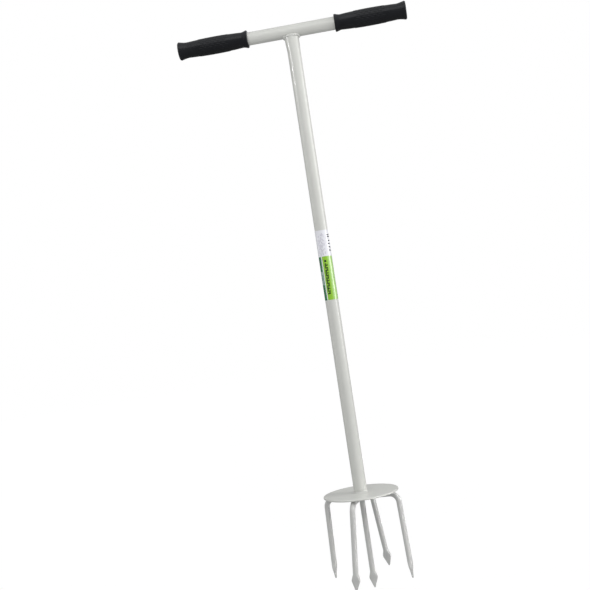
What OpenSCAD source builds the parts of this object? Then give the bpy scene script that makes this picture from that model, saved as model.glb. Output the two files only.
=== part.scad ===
/* [Handle tubes] */
// Outside diameter of the shaft and of the crossbar
tube_d = 25; // [22:0.5:32]
// Wall thickness of the shaft and of the crossbar
tube_wall = 1.5; // [1:0.1:2.5]
// Length of the crossbar tube
bar_len = 437; // [400:1:520]
// Height of the crossbar's axis above the top of the disc
stem_h = 889; // [700:1:1000]

/* [Grips] */
// Length of one grip
grip_len = 137; // [110:1:150]
// Thickness of the grip's closed end
grip_end_wall = 3; // [2:0.5:5]
// Diameter of the bead round the grip's open mouth
grip_mouth_d = 33.5; // [33:0.5:38]
// Diameter of the flange at the grip's closed end
grip_flange_d = 35; // [33:0.5:40]
// Diameter of the two waists, one near each end of the grip
grip_waist_d = 29; // [28:0.5:31]
// Distance from the grip's mouth to the first waist
grip_waist_in = 12; // [8:1:20]
// Distance from the second waist to the grip's closed end
grip_waist_out = 18; // [12:1:24]
// Rounding of the edges of the grip's two rims
grip_edge = 1.5; // [0.5:0.1:2]
// Diameter at the thickest place of the hand's hold
grip_crown_d = 32.4; // [31.5:0.1:35]

/* [Disc] */
// Diameter of the disc that stops the tines at full depth
disc_d = 142; // [130:1:160]
// Thickness of the disc
disc_t = 3; // [2:0.5:5]
// Width of the chamfer round the disc's rim
disc_edge = 0.8; // [0.2:0.1:0.9]

/* [Tines] */
// Diameter of the round bar that the tines are made of
rod_d = 10; // [8:0.5:12]
// Distance from the shaft's axis to the corner of an outer tine
tine_reach = 70; // [60:0.5:80]
// Radius of the bend, at the middle of the bar
bend_r = 17; // [10:0.5:18]
// Depth of the outer tines below the top of the disc
outer_depth = 162; // [130:1:200]
// Depth of the centre tine below the top of the disc
centre_depth = 180; // [150:1:220]
// Angle by which the outer tines spread away from the shaft's axis
tine_splay = 3; // [0:0.1:6]
// Angle by which the outer tines lean round the shaft's axis
tine_lean = 5; // [0:0.1:8]
// Turn of the cross of tines about the shaft, from the crossbar
tine_turn = -12; // [-30:1:30]
// Distance from the shaft's axis to the inner end of an outer tine
tine_start = 8; // [8:0.5:14]

/* [Spear points] */
// Length of the flattened end, from the round bar to the point
spear_len = 30; // [26:0.5:40]
// Distance from the widest place to the point
spear_head = 18.5; // [15:0.5:22]
// Width at the widest place
spear_w = 15.5; // [13:0.5:19]
// Width and thickness of the blunt point
spear_end = 2.8; // [1:0.1:3]
// Thickness at the widest place
spear_t = 4; // [3:0.1:6]

/* [Welds] */
// Size of the fillet welds on the tubes
tube_weld = 3; // [2:0.1:4]
// Size of the fillet welds on the tines
tine_weld = 2.5; // [1.5:0.1:2.8]
// Distance from the shaft's axis to the inner end of a tine's weld
tine_weld_start = 18; // [14:1:24]
// Length of a tine's weld
tine_weld_len = 32; // [20:1:36]
// Depth below the crossbar's axis at which the cope's two horns are cut off
cope_depth = 8.5; // [6:0.5:9]
// Thickness of the upper weld over those cut ends
weld_cap = 1; // [0.5:0.1:1.5]

/* [Label] */
// Depth of the label's top edge below the crossbar's axis
label_drop = 389; // [200:1:500]
// Height of the label's white part
label_white_h = 50; // [30:1:80]
// Height of the label's green part
label_green_h = 83; // [60:1:120]
// Thickness of the label
label_t = 0.2; // [0.1:0.05:0.4]

/* [Hidden] */
$fn = 96;
tube_r = tube_d / 2;
rod_r = rod_d / 2;
disc_r = disc_d / 2;
disc_top = centre_depth;
disc_under = disc_top - disc_t;
leg_z = disc_under - rod_r;
bar_z = disc_top + stem_h;
shaft_top = bar_z - cope_depth;
grip_x = bar_len / 2 + grip_end_wall - grip_len;

// The bend turns the bar from level to the tine's own slope
bend_angle = 90 - tine_splay;
bend_run = bend_r * tan(bend_angle / 2);
leg_drop = leg_z - (disc_top - outer_depth);
leg_len = leg_drop / (sin(bend_angle) * cos(tine_lean)) - bend_run;

// A square bar that just fits inside the round one starts the spear
neck_w = rod_d / sqrt(2);
neck_overlap = 5;
neck_ease = 2;
// How far two lengths of one bar run into each other
lap = 0.01;
clear = 1;

paint = [0.80, 0.81, 0.78];
weld_paint = [0.72, 0.73, 0.71];
grip_black = [0.10, 0.11, 0.12];

// ---- Outlines and helpers ----

// Outline that eases from radius r0 at x0 to radius r1 at x1
function eased(x0, r0, x1, r1, steps) = [
    for (i = [1 : steps])
        let (t = i / steps)
            [r0 + (r1 - r0) * (1 - cos(180 * t)) / 2, x0 + (x1 - x0) * t]
];

// Outline that arches from radius r at x0 up to r + rise and back to r at x1
function arched(x0, x1, r, rise, steps) = [
    for (i = [1 : steps])
        let (t = i / steps)
            [r + rise * sin(180 * t), x0 + (x1 - x0) * t]
];

// One half of a grip's outline: bead at the mouth, waist, crown, waist, flange at the end
module grip_outline() {
    mouth_r = grip_mouth_d / 2;
    waist_r = grip_waist_d / 2;
    flange_r = grip_flange_d / 2;
    waist_out = grip_len - grip_waist_out;
    polygon(concat(
        [[0, grip_len], [0, 0], [mouth_r - grip_edge, 0], [mouth_r, grip_edge]],
        eased(grip_edge, mouth_r, grip_waist_in, waist_r, 6),
        arched(grip_waist_in, waist_out, waist_r, (grip_crown_d - grip_waist_d) / 2, 14),
        eased(waist_out, waist_r, grip_len - 3 * grip_edge, flange_r, 6),
        [[flange_r, grip_len - grip_edge], [flange_r - grip_edge, grip_len]]
    ));
}

// A grip that stands on its mouth, with its blind bore filled by the crossbar
module grip() {
    difference() {
        rotate_extrude() grip_outline();
        translate([0, 0, -clear]) cylinder(d = tube_d, h = grip_len - grip_end_wall + clear);
    }
}

// Quarter-round fillet bead round an upright bar
module ring_bead(bar_r, size) {
    rotate_extrude()
        translate([bar_r, 0])
            intersection() {
                circle(r = size);
                square(size);
            }
}

// Width of the spear seen from its broad side, point at the origin, bar towards +Y
module spear_face() {
    polygon([
        [-spear_end / 2, 0], [spear_end / 2, 0], [spear_w / 2, spear_head],
        [neck_w / 2, spear_len], [neck_w / 2, spear_len + neck_overlap],
        [-neck_w / 2, spear_len + neck_overlap], [-neck_w / 2, spear_len],
        [-spear_w / 2, spear_head]
    ]);
}

// Thickness of the spear seen from its narrow side
module spear_edge() {
    polygon([
        [-spear_end / 2, 0], [spear_end / 2, 0], [spear_t / 2, spear_head],
        [neck_w / 2, spear_len], [neck_w / 2, spear_len + neck_overlap],
        [-neck_w / 2, spear_len + neck_overlap], [-neck_w / 2, spear_len],
        [-spear_t / 2, spear_head]
    ]);
}

// Upright straight tine with its point at the origin; face_turn turns the spear's broad side from Y
module straight_tine(len, face_turn) {
    rotate([0, 0, face_turn]) intersection() {
        rotate([90, 0, 0]) linear_extrude(height = 2 * spear_w, center = true) spear_face();
        rotate([90, 0, 90]) linear_extrude(height = 2 * spear_w, center = true) spear_edge();
    }
    translate([0, 0, spear_head + 1])
        cylinder(d1 = spear_t - 0.5, d2 = rod_d, h = spear_len + neck_ease - spear_head - 1);
    translate([0, 0, spear_len + neck_ease]) cylinder(d = rod_d, h = len - spear_len - neck_ease);
}

// Places its children on one arm of the cross of tines, with X pointing out along the arm
module on_arm(azimuth) {
    translate([0, 0, leg_z]) rotate([0, 0, tine_turn + azimuth]) children();
}

// Outer tine: a level leg under the disc, a bend, and a spear-pointed leg.
// It is drawn round the bend's centre, in the plane that holds both legs.
module outer_tine(azimuth) {
    bend_x = tine_reach - bend_run;
    on_arm(azimuth) rotate([-tine_lean, 0, 0]) translate([bend_x, 0, -bend_r]) rotate([90, 0, 0]) {
        rotate([0, 0, 90]) translate([bend_r, -lap, 0]) rotate([-90, 0, 0])
            cylinder(d = rod_d, h = bend_x - tine_start + lap);
        rotate([0, 0, tine_splay]) {
            rotate_extrude(angle = bend_angle) translate([bend_r, 0]) circle(d = rod_d);
            translate([bend_r, -leg_len, 0]) rotate([-90, 0, 0]) straight_tine(leg_len + lap, 90);
        }
    }
}

// Fillet bead on one side of a tine's level leg, in the corner under the disc
module leg_bead(azimuth, side) {
    on_arm(azimuth) translate([tine_weld_start, 0, 0])
        rotate([90, 0, 90]) linear_extrude(height = tine_weld_len)
            mirror([side < 0 ? 1 : 0, 0])
                difference() {
                    polygon([
                        [rod_r / 2, rod_r], [rod_r + tine_weld, rod_r],
                        [rod_r, rod_r - tine_weld], [rod_r / 2, rod_r - tine_weld]
                    ]);
                    circle(d = rod_d);
                }
}

// ---- Sub-parts ----

module crossbar() {
    color(paint) translate([0, 0, bar_z]) rotate([0, 90, 0])
        difference() {
            cylinder(d = tube_d, h = bar_len, center = true);
            cylinder(d = tube_d - 2 * tube_wall, h = bar_len + 2 * clear, center = true);
        }
}

// The shaft's top is coped to saddle the crossbar
module shaft() {
    color(paint)
        difference() {
            translate([0, 0, disc_top]) cylinder(d = tube_d, h = shaft_top - disc_top);
            translate([0, 0, disc_top - clear])
                cylinder(d = tube_d - 2 * tube_wall, h = shaft_top - disc_top + 2 * clear);
            translate([0, 0, bar_z]) rotate([0, 90, 0]) cylinder(d = tube_d, h = 2 * tube_d, center = true);
        }
}

module right_grip() {
    color(grip_black) translate([grip_x, 0, bar_z]) rotate([0, 90, 0]) grip();
}

module left_grip() {
    color(grip_black) translate([-grip_x, 0, bar_z]) rotate([0, -90, 0]) grip();
}

// Fillet that follows the cope between the shaft and the crossbar, and covers the horns' cut ends
module handle_weld() {
    weld_d = tube_d + 2 * tube_weld;
    color(weld_paint)
        difference() {
            intersection() {
                translate([0, 0, bar_z - weld_d]) cylinder(d = weld_d, h = weld_d - cope_depth + weld_cap);
                translate([0, 0, bar_z]) rotate([0, 90, 0])
                    cylinder(d = weld_d, h = 2 * weld_d, center = true);
            }
            translate([0, 0, shaft_top - 2 * weld_d]) cylinder(d = tube_d, h = 2 * weld_d);
            translate([0, 0, bar_z]) rotate([0, 90, 0])
                cylinder(d = tube_d, h = 4 * weld_d, center = true);
        }
}

// Flat disc with a broken edge round its rim
module disc_plate() {
    color(paint) translate([0, 0, disc_under])
        rotate_extrude()
            polygon([
                [0, 0], [disc_r - disc_edge, 0], [disc_r, disc_edge],
                [disc_r, disc_t - disc_edge], [disc_r - disc_edge, disc_t], [0, disc_t]
            ]);
}

module shaft_weld() {
    color(weld_paint) translate([0, 0, disc_top]) ring_bead(tube_r, tube_weld);
}

module tine_right() { color(paint) outer_tine(0); }

module tine_back() { color(paint) outer_tine(90); }

module tine_left() { color(paint) outer_tine(180); }

module tine_front() { color(paint) outer_tine(270); }

module centre_tine() {
    color(paint) straight_tine(disc_under, 0);
}

module centre_weld() {
    color(weld_paint) translate([0, 0, disc_under]) mirror([0, 0, 1]) ring_bead(rod_r, tine_weld);
}

module tine_right_weld_a() { color(weld_paint) leg_bead(0, 1); }

module tine_right_weld_b() { color(weld_paint) leg_bead(0, -1); }

module tine_back_weld_a() { color(weld_paint) leg_bead(90, 1); }

module tine_back_weld_b() { color(weld_paint) leg_bead(90, -1); }

module tine_left_weld_a() { color(weld_paint) leg_bead(180, 1); }

module tine_left_weld_b() { color(weld_paint) leg_bead(180, -1); }

module tine_front_weld_a() { color(weld_paint) leg_bead(270, 1); }

module tine_front_weld_b() { color(weld_paint) leg_bead(270, -1); }

// One part of the wrap-round label, from a depth below the crossbar's axis
module label_band(drop, height) {
    translate([0, 0, bar_z - drop - height])
        difference() {
            cylinder(d = tube_d + 2 * label_t, h = height);
            translate([0, 0, -clear]) cylinder(d = tube_d, h = height + 2 * clear);
        }
}

module white_label() { color("white") label_band(label_drop, label_white_h); }

module green_label() {
    color([0.55, 0.78, 0.16]) label_band(label_drop + label_white_h, label_green_h);
}

crossbar();
shaft();
left_grip();
right_grip();
handle_weld();
disc_plate();
shaft_weld();
tine_right();
tine_back();
tine_left();
tine_front();
centre_tine();
centre_weld();
tine_right_weld_a();
tine_right_weld_b();
tine_back_weld_a();
tine_back_weld_b();
tine_left_weld_a();
tine_left_weld_b();
tine_front_weld_a();
tine_front_weld_b();
white_label();
green_label();
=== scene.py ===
"""Looks of the hand twist cultivator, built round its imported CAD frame. Lengths are in metres."""
import math

import bmesh
import bpy
from mathutils import Matrix, Vector, noise


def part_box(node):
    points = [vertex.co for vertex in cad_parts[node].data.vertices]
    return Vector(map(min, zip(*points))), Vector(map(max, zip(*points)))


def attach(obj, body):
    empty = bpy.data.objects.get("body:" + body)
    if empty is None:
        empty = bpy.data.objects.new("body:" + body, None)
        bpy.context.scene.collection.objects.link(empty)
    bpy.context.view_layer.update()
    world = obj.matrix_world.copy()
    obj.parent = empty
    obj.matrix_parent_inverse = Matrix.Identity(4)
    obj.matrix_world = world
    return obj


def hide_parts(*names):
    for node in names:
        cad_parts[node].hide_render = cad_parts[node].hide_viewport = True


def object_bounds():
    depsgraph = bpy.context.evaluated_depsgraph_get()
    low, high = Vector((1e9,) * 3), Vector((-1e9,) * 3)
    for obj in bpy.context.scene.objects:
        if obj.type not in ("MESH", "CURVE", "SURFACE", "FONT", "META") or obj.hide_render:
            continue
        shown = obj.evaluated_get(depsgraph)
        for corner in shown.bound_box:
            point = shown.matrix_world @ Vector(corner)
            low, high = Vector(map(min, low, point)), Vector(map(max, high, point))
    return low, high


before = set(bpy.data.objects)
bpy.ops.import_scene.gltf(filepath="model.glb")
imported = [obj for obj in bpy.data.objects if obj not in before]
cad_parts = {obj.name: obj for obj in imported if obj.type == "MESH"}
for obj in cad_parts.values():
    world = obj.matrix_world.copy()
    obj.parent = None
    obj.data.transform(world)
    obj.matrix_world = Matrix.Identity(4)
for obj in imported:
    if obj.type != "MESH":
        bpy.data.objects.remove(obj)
cad_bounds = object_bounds()

MM = 0.001

# ---- Places taken from the frame ----
bar_low, bar_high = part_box("crossbar")
disc_low, disc_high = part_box("disc_plate")
grip_low, grip_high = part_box("right_grip")
BAR_Z = (bar_low.z + bar_high.z) / 2
TUBE_R = (bar_high.y - bar_low.y) / 2
DISC_TOP = disc_high.z
DISC_UNDER = disc_low.z
DISC_R = (disc_high.x - disc_low.x) / 2
GRIP_LEN = grip_high.x - grip_low.x

# ---- Sizes of the tubes and the bars ----
TUBE_WALL = 1.5 * MM
COPE_DEPTH = 8.5 * MM
ROD_R = 5 * MM
TINE_START = 8 * MM
TINE_REACH = 70 * MM
BEND_R = 17 * MM
TINE_SPLAY = math.radians(3)
TINE_LEAN = math.radians(5)
TINE_TURN = math.radians(-12)
ARMS = {"right": 0, "back": 90, "left": 180, "front": 270}
LEG_Z = DISC_UNDER - ROD_R


# ---- Mesh helpers ----

def lerp(a, b, t):
    """The value a share t of the way from a to b."""
    return a + (b - a) * t


def smooth(t):
    """Eases from 0 to 1 as t goes from 0 to 1, level at both ends."""
    t = min(1.0, max(0.0, t))
    return t * t * (3 - 2 * t)


def mesh_object(name, points, faces, uvs=None, sharp=None):
    """A smooth-shaded object. uvs has a pair for each corner; sharp is the crease angle in degrees."""
    mesh = bpy.data.meshes.new(name)
    mesh.from_pydata([tuple(p) for p in points], [], faces)
    if uvs:
        layer = mesh.uv_layers.new(name="UVMap")
        for loop, uv in zip(layer.data, uvs):
            loop.uv = uv
    mesh.shade_smooth()
    if sharp:
        mesh.set_sharp_from_angle(angle=math.radians(sharp))
    made = bpy.data.objects.new(name, mesh)
    bpy.context.scene.collection.objects.link(made)
    return made


def face_outwards(made):
    """Turns every face's normal to the outside."""
    work = bmesh.new()
    work.from_mesh(made.data)
    bmesh.ops.recalc_face_normals(work, faces=work.faces)
    work.to_mesh(made.data)
    work.free()
    return made


def skin(name, rings, closed=False, uv=None, sharp=None):
    """Joins rings of equal length into a closed surface. uv gives (u, v) for ring i and point j."""
    count = len(rings[0])
    points = [p for ring in rings for p in ring]
    spans = len(rings) if closed else len(rings) - 1
    faces, uvs = [], []
    for i in range(spans):
        for j in range(count):
            k, m = (i + 1) % len(rings), (j + 1) % count
            faces.append((i * count + j, i * count + m, k * count + m, k * count + j))
            if uv:
                uvs += [uv(i, j), uv(i, j + 1), uv(i + 1, j + 1), uv(i + 1, j)]
    if not closed:
        for ring_start in (0, (len(rings) - 1) * count):
            cap = tuple(range(ring_start, ring_start + count))
            faces.append(cap)
            if uv:
                row = ring_start // count
                uvs += [uv(row, j) for j in range(count)]
    return face_outwards(mesh_object(name, points, faces, uvs, sharp))


def circle_ring(centre, across, up, radius, sides):
    """Points of a circle in the plane of across and up."""
    return [centre + across * (radius * math.cos(t)) + up * (radius * math.sin(t))
            for t in (2 * math.pi * j / sides for j in range(sides))]


X_AXIS, Y_AXIS, Z_AXIS = Vector((1, 0, 0)), Vector((0, 1, 0)), Vector((0, 0, 1))


def lathe(name, outline, base, along, across, sides, closed=False, sharp=None):
    """Turns an outline of (distance, radius) pairs about an axis from base in the direction along."""
    up = along.cross(across)
    rings = [circle_ring(base + along * d, across, up, r, sides) for d, r in outline]
    return skin(name, rings, closed, sharp=sharp)


def place(piece, nodes, finish):
    """Gives a piece its finish, and lets it stand for its CAD nodes."""
    piece.data.materials.append(finish)
    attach(piece, "root")
    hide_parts(*nodes)
    return piece


# ---- Material helpers ----

def add(tree, kind, inputs=None, **settings):
    """Adds a shader node; an input's value is a number, a colour or another node's output."""
    node = tree.nodes.new("ShaderNode" + kind)
    for key, value in settings.items():
        setattr(node, key, value)
    for socket, value in (inputs or {}).items():
        if isinstance(value, bpy.types.NodeSocket):
            tree.links.new(value, node.inputs[socket])
        else:
            node.inputs[socket].default_value = value
    return node


def math_node(tree, operation, a, b=0.0, c=0.0):
    """The result of a Math node."""
    return add(tree, "Math", {0: a, 1: b, 2: c}, operation=operation).outputs[0]


def mix_colour(tree, amount, a, b):
    """Colour a, turning into colour b as amount goes from 0 to 1."""
    return add(tree, "Mix", {0: amount, 6: a, 7: b}, data_type="RGBA").outputs[2]


def new_material(name, **sockets):
    """A material with a Principled shader; returns it with its tree and shader."""
    made = bpy.data.materials.new(name)
    made.use_nodes = True
    tree = made.node_tree
    shader = tree.nodes["Principled BSDF"]
    for socket, value in sockets.items():
        shader.inputs[socket.replace("_", " ")].default_value = value
    return made, tree, shader


def grain(tree, spot, scale, detail=2.0, rough=0.5, stretch=(1, 1, 1)):
    """Noise from 0 to 1; scale is in lumps per metre, and stretch under 1 draws them out."""
    mapped = add(tree, "Mapping", {"Vector": spot, "Scale": stretch})
    return add(tree, "TexNoise", {"Vector": mapped.outputs[0], "Scale": scale, "Detail": detail,
                                  "Roughness": rough}).outputs["Fac"]


def relief(tree, height, depth, strength, under=None):
    """A bumped normal, on top of another one if under is given."""
    inputs = {"Height": height, "Distance": depth, "Strength": strength}
    if under:
        inputs["Normal"] = under
    return add(tree, "Bump", inputs).outputs[0]


def colour(r, g, b):
    """An opaque colour from linear red, green and blue."""
    return (r, g, b, 1.0)


# ---- Materials ----

PAINT = colour(0.600, 0.603, 0.568)
PAINT_SHADE = colour(0.535, 0.537, 0.508)
PAINT_SPECK = colour(0.3, 0.3, 0.29)
SPECK_SHARE = 0.07
PAINT_ROUGHNESS = 0.3
ROUGHNESS_SPREAD = 0.12


def paint(name, base=PAINT, shade=PAINT_SHADE, peel=0.22, wave=0.35):
    """Powder coat: slight tone changes, orange peel, and a slow waviness that bends reflections."""
    made, tree, shader = new_material(name, Specular_IOR_Level=0.5, Coat_Weight=0.3,
                                      Coat_Roughness=0.06)
    spot = add(tree, "TexCoord").outputs["Object"]
    tone = grain(tree, spot, 16, detail=4, rough=0.6)
    speck = grain(tree, spot, 1500, detail=1)
    tone_mix = mix_colour(tree, tone, base, shade)
    speck_amount = math_node(tree, "MULTIPLY", speck, SPECK_SHARE)
    coloured = mix_colour(tree, speck_amount, tone_mix, PAINT_SPECK)
    tree.links.new(coloured, shader.inputs["Base Color"])
    slow = grain(tree, spot, 30, detail=1, stretch=(1, 1, 0.45))
    fine = grain(tree, spot, 620, detail=2)
    roughness = math_node(tree, "MULTIPLY_ADD", fine, ROUGHNESS_SPREAD,
                          PAINT_ROUGHNESS - ROUGHNESS_SPREAD / 2)
    tree.links.new(roughness, shader.inputs["Roughness"])
    waved = relief(tree, slow, 1.2 * MM, wave)
    peeled = relief(tree, fine, 0.12 * MM, peel, waved)
    tree.links.new(peeled, shader.inputs["Normal"])
    return made


VINYL_DARK = colour(0.0045, 0.0052, 0.0068)
VINYL_PALE = colour(0.0105, 0.0115, 0.0145)


def grip_vinyl():
    """Soft black vinyl with a fine grain and a slightly uneven sheen."""
    made, tree, shader = new_material("grip_vinyl", Specular_IOR_Level=0.5)
    spot = add(tree, "TexCoord").outputs["Object"]
    tone = grain(tree, spot, 40, detail=4, rough=0.6)
    tinted = mix_colour(tree, tone, VINYL_DARK, VINYL_PALE)
    tree.links.new(tinted, shader.inputs["Base Color"])
    fine = grain(tree, spot, 1700, detail=2)
    roughness = math_node(tree, "MULTIPLY_ADD", tone, 0.18, 0.26)
    tree.links.new(roughness, shader.inputs["Roughness"])
    pebbled = relief(tree, fine, 0.15 * MM, 0.35)
    tree.links.new(pebbled, shader.inputs["Normal"])
    return made


def band(tree, value, low, high):
    """1 where the value lies between low and high."""
    return math_node(tree, "COMPARE", value, (low + high) / 2, (high - low) / 2)


def patch(tree, u, v, box):
    """1 inside the box (u low, u high, v low, v high) of the label."""
    return math_node(tree, "MULTIPLY", band(tree, u, box[0], box[1]), band(tree, v, box[2], box[3]))


def patches(tree, u, v, boxes):
    """One mask for each box."""
    return [patch(tree, u, v, box) for box in boxes]


def either(tree, masks):
    """1 where any of the masks is 1."""
    total = masks[0]
    for mask in masks[1:]:
        total = math_node(tree, "MAXIMUM", total, mask)
    return total


def film(name, varnish=0.0):
    """Printed film, varnished or not: returns it with its tree, its shader and the label's u and v."""
    made, tree, shader = new_material(name, Roughness=0.12, Specular_IOR_Level=0.8, Coat_Weight=varnish,
                                      Coat_Roughness=0.24)
    spot = add(tree, "TexCoord")
    split = add(tree, "SeparateXYZ", {0: spot.outputs["UV"]})
    pucker = grain(tree, spot.outputs["Object"], 90, detail=2, stretch=(1, 1, 0.4))
    tree.links.new(relief(tree, pucker, 0.4 * MM, 0.35), shader.inputs["Normal"])
    return made, tree, shader, split.outputs[0], split.outputs[1]


def dashes(count, u_low, u_high, v_low, v_high, fills, gap=0.35):
    """Boxes of a broken line along v. A fill is the share of the space that its dash takes up."""
    step = (v_high - v_low) / count
    return [(u_low, u_high, v_low + step * i, v_low + step * (i + (1 - gap) * fills[i % len(fills)]))
            for i in range(count)]


def turn(degrees):
    """The label's u for an angle round the shaft from the middle of its front."""
    return 0.5 + degrees / 360


def white_film():
    """Columns of faint grey print in front, a row of dark marks on the right and a bar pattern behind."""
    made, tree, shader, u, v = film("label_white_film")
    white, grey = colour(0.73, 0.73, 0.77), colour(0.50, 0.49, 0.56)
    black = colour(0.02, 0.02, 0.025)
    fills = [0.9, 0.5, 1.0, 0.7, 0.35, 0.8, 0.6]
    columns = [(-47, 5, 0.10, 0.90), (-35, 4, 0.04, 0.97), (-25, 3, 0.12, 0.80),
               (-16, 6, 0.05, 0.93), (-6, 4, 0.22, 0.95), (5, 5, 0.08, 0.88)]
    faint = []
    for row, (at, count, low, high) in enumerate(columns):
        shifted = fills[row:] + fills[:row]
        faint += patches(tree, u, v, dashes(count, turn(at), turn(at + 5), low, high, shifted, gap=0.2))
    mark_half = 0.022
    mark_rows = [(0.215, 46), (0.335, 47), (0.465, 44), (0.585, 50), (0.735, 41), (0.805, 43)]
    marks = [(turn(left), turn(80), at - mark_half, at + mark_half) for at, left in mark_rows]
    widths = [0.012, 0.036, 0.018, 0.03]
    bars = []
    for i in range(16):
        low = 0.12 + 0.05 * i
        bars.append((turn(128), turn(170), low, low + widths[i % 4]))
    base = mix_colour(tree, either(tree, faint), white, grey)
    inked = mix_colour(tree, either(tree, patches(tree, u, v, marks + bars)), base, black)
    tree.links.new(inked, shader.inputs["Base Color"])
    return made


def letter_shapes(middle, lean, v_low, v_high, count):
    """Boxes that look like a line of bold print from afar but spell nothing; angles are in degrees."""
    half, edge_width, stroke = 13.0, 3, 0.41
    step = (v_high - v_low) / count
    boxes = []
    for i in range(count):
        low = v_low + step * i
        at = middle + lean * (i / (count - 1) - 0.5)
        boxes.append((turn(at - half), turn(at + half), low, low + step * stroke))
        side = (at - half, at) if i % 3 else (at, at + half)
        boxes.append((turn(side[0]), turn(side[1]), low + step * 0.5, low + step * (0.5 + stroke)))
        edge = at + half - edge_width if i % 2 else at - half
        boxes.append((turn(edge), turn(edge + edge_width), low, low + step * 0.75))
    return boxes


def green_film():
    """Lime paled on the right by painted reflection, a dark strip with a light patch, made-up bold print.
    """
    made, tree, shader, u, v = film("label_green_film", varnish=1.0)
    lime, painted_reflection_lime = colour(0.27, 0.54, 0.03), colour(0.68, 0.78, 0.62)
    # The paling to the right is a painted reflection of the right-hand light on the glossy film.
    fade = add(tree, "MapRange", {"Value": u, "From Min": turn(7), "From Max": turn(32),
                                  "To Min": 0.0, "To Max": 0.32}, interpolation_type="SMOOTHSTEP")
    strip = band(tree, u, turn(-125), turn(-40))
    line = band(tree, u, turn(-40), turn(-31))
    badge = patch(tree, u, v, (turn(-82), turn(-49), 0.35, 0.66))
    badge_dark = patch(tree, u, v, (turn(-69), turn(-54), 0.45, 0.59))
    letters = letter_shapes(-7, 9, 0.13, 0.84, 12)
    first_mark = (turn(-15), turn(3), 0.870, 0.914)
    ink = patches(tree, u, v, letters + [first_mark])
    notes = patches(tree, u, v, dashes(8, turn(47), turn(54), 0.40, 0.70, [0.9, 0.5, 0.7]))
    panel = patch(tree, u, v, (turn(80), turn(160), 0.12, 0.88))
    words = [0.95, 0.6, 1.0, 0.8, 0.45]
    rows = []
    for row in range(6):
        shift, left = row % 3, 88 + 11 * row
        shifted = words[shift:] + words[:shift]
        rows += patches(tree, u, v, dashes(5, turn(left), turn(left + 5), 0.2, 0.8, shifted))
    ground = mix_colour(tree, fade.outputs[0], lime, painted_reflection_lime)
    layers = [
        (strip, colour(0.0, 0.160, 0.050)),
        (line, colour(0.80, 0.82, 0.79)),
        (badge, colour(0.33, 0.44, 0.42)),
        (badge_dark, colour(0.12, 0.24, 0.20)),
        (either(tree, ink), colour(0.005, 0.02, 0.006)),
        (either(tree, notes), colour(0.30, 0.46, 0.20)),
        (panel, colour(0.74, 0.80, 0.64)),
        (either(tree, rows), colour(0.06, 0.16, 0.05)),
    ]
    for mask, tint in layers:
        ground = mix_colour(tree, mask, ground, tint)
    tree.links.new(ground, shader.inputs["Base Color"])
    return made


# ---- Tubes and disc ----

TUBE_SIDES = 96


def make_crossbar(finish):
    """The level tube, open at both ends inside the grips."""
    inner, half = TUBE_R - TUBE_WALL, bar_high.x
    steps = 40
    outline = [(lerp(-half, half, i / steps), TUBE_R) for i in range(steps + 1)]
    outline += [(half, inner), (-half, inner)]
    tube = lathe("crossbar_tube", outline, Vector((0, 0, BAR_Z)), X_AXIS, Y_AXIS, TUBE_SIDES, True, 60)
    place(tube, ["crossbar"], finish)


def cope_height(radius, angle):
    """Height at which a point of the shaft's wall meets the crossbar or the cope's flat top."""
    y = radius * math.sin(angle)
    return min(BAR_Z - math.sqrt(TUBE_R ** 2 - y * y), BAR_Z - COPE_DEPTH)


FLARE_TOP = BAR_Z - 10 * MM
FLARE_LEN = 42 * MM
FLARE_LEFT = 2.3 * MM
FLARE_RIGHT = 0.5 * MM


def flare(x, z):
    """How far pressing the cope has pushed the shaft's sides out: most at the top and on the left."""
    fade = smooth(1 - (FLARE_TOP - z) / FLARE_LEN)
    most = FLARE_LEFT if x < 0 else FLARE_RIGHT
    return most * fade * x / TUBE_R


def make_shaft(finish):
    """The upright tube, from the disc to the cope that saddles the crossbar."""
    angles = [2 * math.pi * j / TUBE_SIDES for j in range(TUBE_SIDES)]
    inner = TUBE_R - TUBE_WALL
    steps = 110

    def wall_point(radius, a, t):
        x, z = radius * math.cos(a), lerp(DISC_TOP, cope_height(radius, a), t)
        return Vector((x + flare(x, z), radius * math.sin(a), z))

    def wall(radius, t):
        return [wall_point(radius, a, t) for a in angles]

    rings = [wall(TUBE_R, i / steps) for i in range(steps + 1)] + [wall(inner, 1), wall(inner, 0)]
    tube = skin("shaft_tube", rings, closed=True, sharp=60)
    place(tube, ["shaft"], finish)


def make_disc(finish):
    """The stop disc, with the soft edge that thick paint leaves on a cut plate."""
    thick, edge = DISC_TOP - DISC_UNDER, 1.1 * MM
    arc = [i * math.pi / 12 for i in range(7)]
    flat = [i / 12 for i in range(1, 12)]
    rim_in = DISC_R - edge
    top = [(0, rim_in * t) for t in flat]
    top_rim = [(edge - edge * math.cos(a), rim_in + edge * math.sin(a)) for a in arc]
    low_rim = [(thick - d, r) for d, r in reversed(top_rim)]
    under = [(thick, rim_in * t) for t in reversed(flat)]
    disc = lathe("stop_disc", top + top_rim + low_rim + under, Vector((0, 0, DISC_TOP)),
                 -Z_AXIS, X_AXIS, 160, sharp=60)
    place(disc, ["disc_plate"], finish)


# ---- Grips ----

GRIP_MOUTH_R = 16.75 * MM
GRIP_WAIST_IN_R = 14.4 * MM
GRIP_WAIST_OUT_R = 14.7 * MM
GRIP_CROWN_R = 16.2 * MM
GRIP_FLANGE_R = 17.4 * MM
WAIST_IN = 12 * MM
WAIST_OUT = GRIP_LEN - 18 * MM
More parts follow.
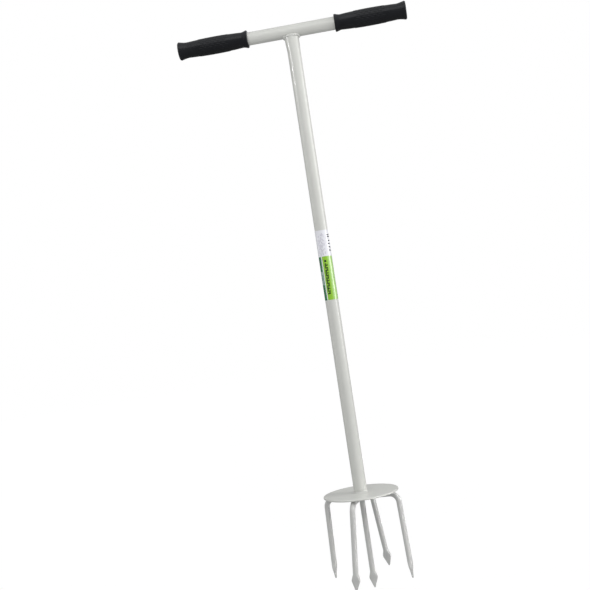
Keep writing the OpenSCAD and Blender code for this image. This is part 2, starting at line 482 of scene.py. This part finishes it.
# The ovals' zone is in shares of the grip's length, and their half sizes in shares of a row or a pitch.
OVAL_ZONE = (0.29, 0.72)
OVAL_PITCH = 10.4 * MM
OVAL_ROWS = 28
OVAL_HALF_ACROSS = 0.40
OVAL_HALF_ALONG = 0.43
OVAL_STEEPNESS = 2.2
OVAL_RISE = 0.45 * MM
MOUTH_ROUNDING = 1.1 * MM
END_ROUNDING = 1.3 * MM
SEAM_RISE = 0.12 * MM
SEAM_HALF_WIDTH = 0.035


def grip_radius(d):
    """Radius of the grip at a distance from its mouth."""
    lip, end_lip = 2 * MM, GRIP_LEN - 2.6 * MM
    if d < lip:
        drop = 1 - d / lip
        return GRIP_MOUTH_R - MOUTH_ROUNDING * drop * drop
    if d < WAIST_IN:
        return lerp(GRIP_MOUTH_R, GRIP_WAIST_IN_R, smooth((d - lip) / (WAIST_IN - lip)) ** 0.7)
    if d < WAIST_OUT:
        t = (d - WAIST_IN) / (WAIST_OUT - WAIST_IN)
        waist = lerp(GRIP_WAIST_IN_R, GRIP_WAIST_OUT_R, t)
        return waist + (GRIP_CROWN_R - waist) * math.sin(math.pi * t) ** 0.8
    if d < end_lip:
        return lerp(GRIP_WAIST_OUT_R, GRIP_FLANGE_R, ((d - WAIST_OUT) / (end_lip - WAIST_OUT)) ** 1.6)
    rise = (d - end_lip) / (GRIP_LEN - end_lip)
    return GRIP_FLANGE_R - END_ROUNDING * rise * rise


def oval_rise(d, angle):
    """Height of the moulded ovals: rows along the grip, every second row set half a pitch on."""
    row_place = angle / (2 * math.pi) * OVAL_ROWS
    row = round(row_place)
    shift = 0.5 if row % 2 else 0.0
    across = (row_place - row) / OVAL_HALF_ACROSS
    step = d / OVAL_PITCH + shift
    along = (step - round(step)) / OVAL_HALF_ALONG
    inside = 1 - across * across - along * along
    low, high = OVAL_ZONE[0] * GRIP_LEN, OVAL_ZONE[1] * GRIP_LEN
    middle = (round(step) - shift) * OVAL_PITCH
    if inside <= 0 or not low < middle < high:
        return 0.0
    return OVAL_RISE * smooth(inside * OVAL_STEEPNESS)


def make_grip(name, side, finish):
    """One grip, from its mouth out to the closed end; side is 1 on the right and -1 on the left."""
    mouth = Vector((side * (bar_high.x + 3 * MM - GRIP_LEN), 0, BAR_Z))
    along, sides = X_AXIS * side, 336
    angles = [2 * math.pi * j / sides for j in range(sides)]

    def ring(d, radius, moulded=True):
        made = []
        for a in angles:
            r = radius
            if moulded:
                r += oval_rise(d, a) + SEAM_RISE * max(0, 1 - abs(math.sin(a)) / SEAM_HALF_WIDTH)
            made.append(mouth + along * d + Y_AXIS * (r * math.cos(a)) + Z_AXIS * (r * math.sin(a)))
        return made

    # Rings stand close together at both ends and under the ovals.
    end_len = 3 * MM
    zone_start = OVAL_ZONE[0] * GRIP_LEN - 6 * MM
    zone_end = OVAL_ZONE[1] * GRIP_LEN + 6 * MM
    places = [end_len * i / 12 for i in range(12)]
    places += [lerp(end_len, zone_start, i / 24) for i in range(24)]
    places += [lerp(zone_start, zone_end, i / 150) for i in range(150)]
    places += [lerp(zone_end, GRIP_LEN - end_len, i / 24) for i in range(24)]
    places += [lerp(GRIP_LEN - end_len, GRIP_LEN, i / 12) for i in range(13)]
    mouth_in = [(1.2 * MM, TUBE_R + 0.05 * MM), (0.3 * MM, TUBE_R + 0.3 * MM), (0, TUBE_R + 0.9 * MM)]
    # The closed end is a shallow dish with a dimple in its middle; the distances run inwards.
    cap = [(0, GRIP_FLANGE_R - 2.2 * MM), (0.25 * MM, GRIP_FLANGE_R - 3.4 * MM),
           (0.75 * MM, GRIP_FLANGE_R - 4.2 * MM), (0.85 * MM, GRIP_FLANGE_R - 5.5 * MM),
           (0.6 * MM, 6 * MM), (0.5 * MM, 2.2 * MM), (0.9 * MM, 1.6 * MM), (1.2 * MM, 0.8 * MM)]
    rings = [ring(d, r, False) for d, r in mouth_in] + [ring(d, grip_radius(d)) for d in places]
    rings += [ring(GRIP_LEN - d, r, False) for d, r in cap]
    grip = skin(name + "_skin", rings, sharp=75)
    place(grip, [name], finish)


# ---- Welds ----

def bead(name, stations, pitch, bulge, ripple, closed):
    """A hand-laid bead. A station is (toe, other toe, outward direction, buried root, size)."""
    steps = 10
    rings, run, last = [], 0.0, None
    for toe_a, toe_b, out, root, size in stations:
        middle = (toe_a + toe_b) / 2
        run += (middle - last).length if last else 0.0
        last = middle
        ring = []
        for i in range(steps + 1):
            s = i / steps
            crown = 4 * s * (1 - s)
            scallop = (run / pitch + 0.45 * crown) % 1
            wave = math.sqrt(max(0.0, 1 - (2 * scallop - 1) ** 2))
            lump = noise.noise(middle / (3 * MM)) * 0.35
            lift = crown ** 0.6 * (bulge * (size + lump) + ripple * (wave - 0.6))
            ring.append(lerp(toe_a, toe_b, s) + out * lift)
        ring.append(root)
        rings.append(ring)
    return skin(name, rings, closed, sharp=70)


def uneven(spot, amount):
    """A factor near 1 that wanders from place to place."""
    return 1 + amount * noise.noise(spot / (4 * MM))


def make_handle_weld(finish):
    """Weld round the cope: a fillet at the sides, and a low bead that climbs the crossbar in front."""
    count = 420
    # In millimetres: how far under the crossbar's axis the bead runs in front and behind, where the
    # cope is flat, and how softly it turns there from the sides.
    flat_depth, blend = 9.6, 0.6
    # The pit is where the bead starts and ends, near the front.
    pit_at, pit_reach = math.radians(275), math.radians(4)
    stations = []
    for i in range(count):
        a = 2 * math.pi * i / count
        radial = Vector((math.cos(a), math.sin(a), 0))
        saddle = -TUBE_R * abs(math.cos(a))
        front = 1 / (1 + math.exp((-saddle / MM - flat_depth) / blend))
        on_left = max(0.0, -math.cos(a)) ** 3
        joint = radial * TUBE_R + Vector((0, 0, BAR_Z + lerp(saddle, -flat_depth * MM, front)))
        size = uneven(joint, 0.28)
        pit = math.exp(-((a - pit_at) / pit_reach) ** 2)
        drop = lerp(3.0 + 0.8 * on_left, 3.6 - 1.2 * pit, front) * MM
        reach_out = lerp(3.0 + 0.4 * on_left, 1.3, front) * MM
        joint.x += flare(joint.x, joint.z)
        toe_a = joint - Z_AXIS * drop * size
        toe_a.x += flare(joint.x, toe_a.z) - flare(joint.x, joint.z)
        reach = joint + radial * reach_out * size - Vector((0, 0, BAR_Z))
        level = Vector((0, reach.y, reach.z)).normalized()
        toe_b = Vector((reach.x, 0, BAR_Z)) + level * TUBE_R
        out = (radial + level).normalized()
        lump = 0.5 * noise.noise(joint / (3.0 * MM))
        fullness = lerp(0.2, 1.5, front) + lump - 1.3 * pit
        root = joint - (radial + level) * 0.8 * MM
        stations.append((toe_a, toe_b, out, root, fullness))
    weld = bead("handle_weld_bead", stations, 2.6 * MM, 1.2 * MM, 0.5 * MM, True)
    place(weld, ["handle_weld"], finish)


def ring_weld(name, node, radius, height, up, leg, finish):
    """Fillet round an upright bar that stands on a plate; up points away from the plate."""
    count = max(120, int(2 * math.pi * radius / (0.22 * MM)))
    stations = []
    for i in range(count):
        a = 2 * math.pi * i / count
        radial = Vector((math.cos(a), math.sin(a), 0))
        corner = radial * radius + Vector((0, 0, height))
        size = uneven(corner, 0.25)
        stations.append((corner + up * leg * size, corner + radial * leg * size,
                         (radial + up).normalized(), corner - (radial + up) * 0.8 * MM, 1.0))
    weld = bead(name, stations, 2.1 * MM, 0.45 * MM, 0.3 * MM, True)
    place(weld, [node], finish)


def make_leg_weld(tine, azimuth, letter, side, finish):
    """Bead in the corner between a tine's level leg and the disc, with rounded ends."""
    start, length, leg = 18 * MM, 32 * MM, 2.4 * MM
    count = 150
    arm = Matrix.Rotation(TINE_TURN + math.radians(azimuth), 4, "Z")
    corner = Vector((0, 0, DISC_UNDER))
    out = Vector((0, side * 0.6, -0.8))
    touch = math.radians(38)
    foot = ROD_R * math.sin(touch)
    stations = []
    for i in range(count):
        t = i / (count - 1)
        end = max(0.06, 1 - abs(2 * t - 1) ** 7) ** 0.5
        x = start + length * t
        size = uneven(Vector((x, azimuth * MM, side * MM)), 0.25) * end
        toe_angle = touch + 0.42 * size
        on_bar = Vector((x, side * ROD_R * math.sin(toe_angle), ROD_R * (math.cos(toe_angle) - 1)))
        on_disc = Vector((x, side * (foot + leg * size), 0))
        root = Vector((x, side * foot * 0.7, 0.6 * MM))
        stations.append((arm @ on_bar + corner, arm @ on_disc + corner, arm @ out,
                         arm @ root + corner, end))
    name = f"tine_{tine}_weld_{letter}"
    weld = bead(name + "_bead", stations, 2.0 * MM, 0.5 * MM, 0.26 * MM, False)
    place(weld, [name], finish)


# ---- Tines ----

SPEAR_HEAD = 18.5 * MM
SPEAR_LEN = 30 * MM
SPEAR_HALF_W = 7.75 * MM
SPEAR_HALF_T = 2.2 * MM
POINT_HALF_W = 1.3 * MM
POINT_HALF_T = 1.3 * MM


def spear_width(h):
    """Half width at a height above the point: straight blade edges, rounded shoulders, short neck."""
    soft = 0.7 * MM
    sharp_half_w = SPEAR_HALF_W + 0.5 * MM
    blade = POINT_HALF_W + (sharp_half_w - POINT_HALF_W) * h / SPEAR_HEAD
    neck = ROD_R + (sharp_half_w - ROD_R) * (SPEAR_LEN - h) / (SPEAR_LEN - SPEAR_HEAD)
    shoulder = -soft * math.log(math.exp(-blade / soft) + math.exp(-neck / soft))
    return max(shoulder, ROD_R) if h > SPEAR_HEAD else shoulder


def spear_thickness(h):
    """Half thickness: hammered flat below the neck, thinning to the point."""
    flat = lerp(POINT_HALF_T, SPEAR_HALF_T, min(1.0, h / SPEAR_HEAD))
    return lerp(flat, ROD_R, smooth((h - 11 * MM) / (20 * MM)))


def flattened_ring(centre, wide, thin, half_w, half_t, square, sides):
    """A ring between an ellipse (square 0) and a soft-cornered bar section (square 1)."""
    power = 2 / lerp(2.0, 4.2, square)
    ring = []
    for j in range(sides):
        t = 2 * math.pi * j / sides
        c, s = math.cos(t), math.sin(t)
        ring.append(centre + wide * (half_w * math.copysign(abs(c) ** power, c))
                    + thin * (half_t * math.copysign(abs(s) ** power, s)))
    return ring


def bar_rings(path, wide, sides=48):
    """Rings along a plane path from the bar's start to its point; wide is square to that plane."""
    lengths = [0.0]
    for a, b in zip(path, path[1:]):
        lengths.append(lengths[-1] + (b - a).length)
    rings = []
    for i, centre in enumerate(path):
        ahead = path[min(i + 1, len(path) - 1)]
        behind = path[max(i - 1, 0)]
        thin = wide.cross(ahead - behind).normalized()
        height = lengths[-1] - lengths[i]
        if height > SPEAR_LEN + 6 * MM:
            half_w = half_t = ROD_R
            square = 0.0
        else:
            half_w, half_t = spear_width(height), spear_thickness(height)
            square = smooth((SPEAR_LEN + 2 * MM - height) / (14 * MM))
        rings.append(flattened_ring(centre, wide, thin, half_w, half_t, square, sides))
    return rings


def rounded_ends(rings, path, start_cut, point_cut):
    """Adds shrunken rings beyond both ends, so that the cut end and the point are softly rounded."""
    def shrunk(ring, share, push):
        centre = sum(ring, Vector()) / len(ring)
        return [centre + (p - centre) * share + push for p in ring]

    back = (path[0] - path[1]).normalized()
    front = (path[-1] - path[-2]).normalized()
    first, last = rings[0], rings[-1]
    head = [shrunk(first, 0.2, back * start_cut), shrunk(first, 0.86, back * start_cut),
            shrunk(first, 0.96, back * start_cut * 0.6)]
    tail = [shrunk(last, 0.85, front * point_cut * 0.6), shrunk(last, 0.5, front * point_cut * 0.95),
            shrunk(last, 0.15, front * point_cut)]
    return head + rings + tail


def spear_heights(reach):
    """Heights above the point at which a straight leg gets a ring, close together in the spear."""
    close, wide = 0.55 * MM, 4 * MM
    low = [close * i for i in range(int((SPEAR_LEN + 8 * MM) / close))]
    rest = int((reach - low[-1]) / wide)
    return low + [lerp(low[-1], reach, (i + 1) / rest) for i in range(rest)]


TIP_CUT = 0.5 * MM


def make_outer_tine(tine, azimuth, finish):
    """Level leg, bend and spear-pointed leg, drawn in the arm's own plane and then leant and turned."""
    node = "tine_" + tine
    bend_angle = math.pi / 2 - TINE_SPLAY
    bend_run = BEND_R * math.tan(bend_angle / 2)
    bend_x = TINE_REACH - bend_run
    tip_drop = LEG_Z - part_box(node)[0].z - TIP_CUT
    down = Vector((math.sin(TINE_SPLAY), 0, -math.cos(TINE_SPLAY)))
    leg_len = tip_drop / (math.cos(TINE_SPLAY) * math.cos(TINE_LEAN)) - bend_run
    centre = Vector((bend_x, 0, -BEND_R))
    path = [Vector((lerp(TINE_START, bend_x, i / 10), 0, 0)) for i in range(10)]
    path += [centre + Vector((math.sin(a), 0, math.cos(a))) * BEND_R
             for a in (bend_angle * i / 20 for i in range(20))]
    corner = Vector((TINE_REACH, 0, 0))
    tip = corner + down * (bend_run + leg_len)
    path += [tip - down * h for h in reversed(spear_heights(leg_len))]
    pose = (Matrix.Translation((0, 0, LEG_Z)) @ Matrix.Rotation(TINE_TURN + math.radians(azimuth), 4, "Z")
            @ Matrix.Rotation(-TINE_LEAN, 4, "X"))
    rings = rounded_ends(bar_rings(path, Y_AXIS), path, 0.4 * MM, TIP_CUT)
    piece = skin(node + "_bar", [[pose @ p for p in ring] for ring in rings], sharp=65)
    place(piece, [node], finish)


def make_centre_tine(finish):
    """The straight bar under the middle of the disc; its top is cut off flat."""
    reach = DISC_UNDER - TIP_CUT
    path = [Vector((0, 0, TIP_CUT + h)) for h in reversed(spear_heights(reach))]
    rings = rounded_ends(bar_rings(path, X_AXIS), path, 0.0, TIP_CUT)
    piece = skin("centre_tine_bar", rings[3:], sharp=65)
    place(piece, ["centre_tine"], finish)


# ---- Labels ----

# The middle of the print faces the camera, and the lap is behind.
FACING = math.radians(-86)
LAP_ANGLE = math.radians(16)
LAP_EASE = 0.10
FILM_T = 0.16 * MM
FILM_GAP = 0.02 * MM


def make_label(node, finish):
    """Film wrapped round the shaft, one end lapped over the other behind; u runs round, v runs up."""
    low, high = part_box(node)
    count, rows = 180, 24
    lap_rise = 1.06 * FILM_T
    around = 2 * math.pi + LAP_ANGLE

    def film_point(row, k, side):
        t = k / count
        angle = FACING - math.pi + around * t
        over = smooth((around * t - (2 * math.pi - LAP_EASE)) / LAP_EASE)
        z = lerp(low.z, high.z, row / rows)
        r = TUBE_R + FILM_GAP + FILM_T * side + lap_rise * over
        return Vector((r * math.cos(angle), r * math.sin(angle), z))

    outline = [(k, 1) for k in range(count + 1)] + [(k, 0) for k in range(count, -1, -1)]
    rings = [[film_point(row, k, side) for k, side in outline] for row in range(rows + 1)]

    def uv(i, j):
        k = outline[j % len(outline)][0]
        return (k / count * around / (2 * math.pi), i / rows)

    label = skin(node + "_film", rings, uv=uv, sharp=50)
    place(label, [node], finish)


# ---- Studio ----

CAMERA_AT = Vector((0.1159, -1.7330, 0.5069))
CAMERA_SWING = math.radians(6.06)
CAMERA_TILT = math.radians(1.96)
CAMERA_ROLL = math.radians(8.52)
CAMERA_LENS = 55.7


def make_camera():
    """Stands a little to the right, looks almost level, and rolls so that the shaft leans."""
    data = bpy.data.cameras.new("camera")
    data.lens, data.sensor_width = CAMERA_LENS, 36
    data.clip_start, data.clip_end = 0.05, 100
    camera = bpy.data.objects.new("camera", data)
    bpy.context.scene.collection.objects.link(camera)
    turned = (Matrix.Rotation(CAMERA_SWING, 4, "Z") @ Matrix.Rotation(math.pi / 2 + CAMERA_TILT, 4, "X")
              @ Matrix.Rotation(-CAMERA_ROLL, 4, "Z"))
    camera.matrix_world = Matrix.Translation(CAMERA_AT) @ turned
    bpy.context.scene.camera = camera


def softbox(name, at, target, width, height, power, mirrored=True, lights=True, beam=180):
    """A soft panel. Without mirrored it makes no highlight; without lights it makes nothing else."""
    data = bpy.data.lights.new(name, "AREA")
    data.shape, data.size, data.size_y = "RECTANGLE", width, height
    data.energy, data.spread = power, math.radians(beam)
    light = bpy.data.objects.new(name, data)
    light.location = at
    light.rotation_euler = (Vector(target) - Vector(at)).to_track_quat("-Z", "Y").to_euler()
    light.visible_camera = False
    light.visible_glossy = mirrored
    light.visible_diffuse = lights
    bpy.context.scene.collection.objects.link(light)


def surround_light(tree, height, below, above, start, end):
    """A pale surround whose strength eases from below to above; heights run from -1 to 1."""
    strength = add(tree, "MapRange", {"Value": height, "From Min": start, "From Max": end,
                                      "To Min": below, "To Max": above}, interpolation_type="SMOOTHSTEP")
    return add(tree, "Background", {"Color": colour(0.98, 0.99, 1.0), "Strength": strength.outputs[0]})


def make_surround():
    """White to the camera; it lights the tool less than it shows, and more from above than below."""
    scene = bpy.context.scene
    scene.view_settings.view_transform = "Standard"
    world = bpy.data.worlds.new("surround")
    world.use_nodes = True
    scene.world = world
    tree = world.node_tree
    tree.nodes.clear()
    direction = add(tree, "SeparateXYZ", {0: add(tree, "TexCoord").outputs["Generated"]})
    height = direction.outputs[2]
    seen = add(tree, "Background", {"Color": colour(1, 1, 1), "Strength": 1.0})
    lit = surround_light(tree, height, 0.62, 0.76, -1.0, 1.0)
    mirrored = surround_light(tree, height, 0.16, 0.42, 0.15, 0.60)
    path = add(tree, "LightPath")
    dim = add(tree, "MixShader", {0: path.outputs["Is Glossy Ray"], 1: lit.outputs[0],
                                  2: mirrored.outputs[0]})
    both = add(tree, "MixShader", {0: path.outputs["Is Camera Ray"], 1: dim.outputs[0],
                                   2: seen.outputs[0]})
    out = add(tree, "OutputWorld")
    tree.links.new(both.outputs[0], out.inputs[0])


def make_floor():
    """A white disc just under the tool; it shows no shade, and nothing on the tool mirrors it."""
    height = cad_bounds[0].z - 0.2 * MM
    floor = lathe("floor", [(0, 8.0), (0, 0.01)], Vector((0, 0, height)), -Z_AXIS, X_AXIS, 96)
    made, _, shader = new_material("floor", Roughness=0.9, Specular_IOR_Level=0.1)
    shader.inputs["Base Color"].default_value = colour(0, 0, 0)
    shader.inputs["Emission Color"].default_value = colour(1, 1, 1)
    shader.inputs["Emission Strength"].default_value = 1.0
    floor.data.materials.append(made)
    floor.visible_glossy = False
    floor.visible_diffuse = False


def make_lights():
    """Panels round the tool. The glints, the highlight and the sheen show only as reflections."""
    middle, handle = (0, 0, 0.6), (0, 0, 1.07)
    softbox("right_panel", (1.9, -0.35, 1.15), middle, 0.45, 1.6, 26, mirrored=False)
    softbox("right_glint", (1.9, -0.18, 0.98), middle, 0.75, 1.3, 12.5, lights=False)
    softbox("top_panel", (-0.2, -1.5, 1.7), (0, 0, 0.8), 1.2, 0.8, 11.1, mirrored=False)
    softbox("bar_highlight", (0, -0.26, 2.3), handle, 1.6, 0.22, 0.4, lights=False)
    softbox("grip_sheen", (0, -1.1, 2.05), handle, 1.2, 0.5, 1.7, lights=False)
    softbox("foot_panel", (1.0, -0.7, 0.06), (0, 0, 0.07), 0.3, 0.2, 0.07, mirrored=False, beam=24)
    softbox("left_glint", (-1.6, -0.54, 1.535), (0, 0, 1.0), 0.22, 0.24, 5.0, lights=False)
    softbox("left_strip", (-1.7, 0.1, 1.2), middle, 0.10, 1.2, 2)
    softbox("back_panel", (0.3, 2.2, 1.5), middle, 1.4, 1.4, 4.8)


# ---- The tool ----

coat = paint("powder_coat")
# The tines' coat is the powder coat darkened as painted shade, for the weaker light that falls on them
# low down.
shaded_tine_paint = paint("tine_coat", colour(0.540, 0.540, 0.525), colour(0.480, 0.480, 0.470), wave=0.25)
weld_paint = paint("weld_coat", colour(0.565, 0.567, 0.540), PAINT_SHADE, peel=0.35, wave=0.1)
vinyl = grip_vinyl()

make_crossbar(coat)
make_shaft(coat)
make_disc(coat)
make_grip("left_grip", -1, vinyl)
make_grip("right_grip", 1, vinyl)
make_handle_weld(weld_paint)
ring_weld("shaft_weld_bead", "shaft_weld", TUBE_R, DISC_TOP, Z_AXIS, 2.6 * MM, weld_paint)
ring_weld("centre_weld_bead", "centre_weld", ROD_R, DISC_UNDER, -Z_AXIS, 2.4 * MM, weld_paint)
for tine, azimuth in ARMS.items():
    make_outer_tine(tine, azimuth, shaded_tine_paint)
    make_leg_weld(tine, azimuth, "a", 1, weld_paint)
    make_leg_weld(tine, azimuth, "b", -1, weld_paint)
make_centre_tine(shaded_tine_paint)
make_label("white_label", white_film())
make_label("green_label", green_film())
make_camera()
make_surround()
make_floor()
make_lights()
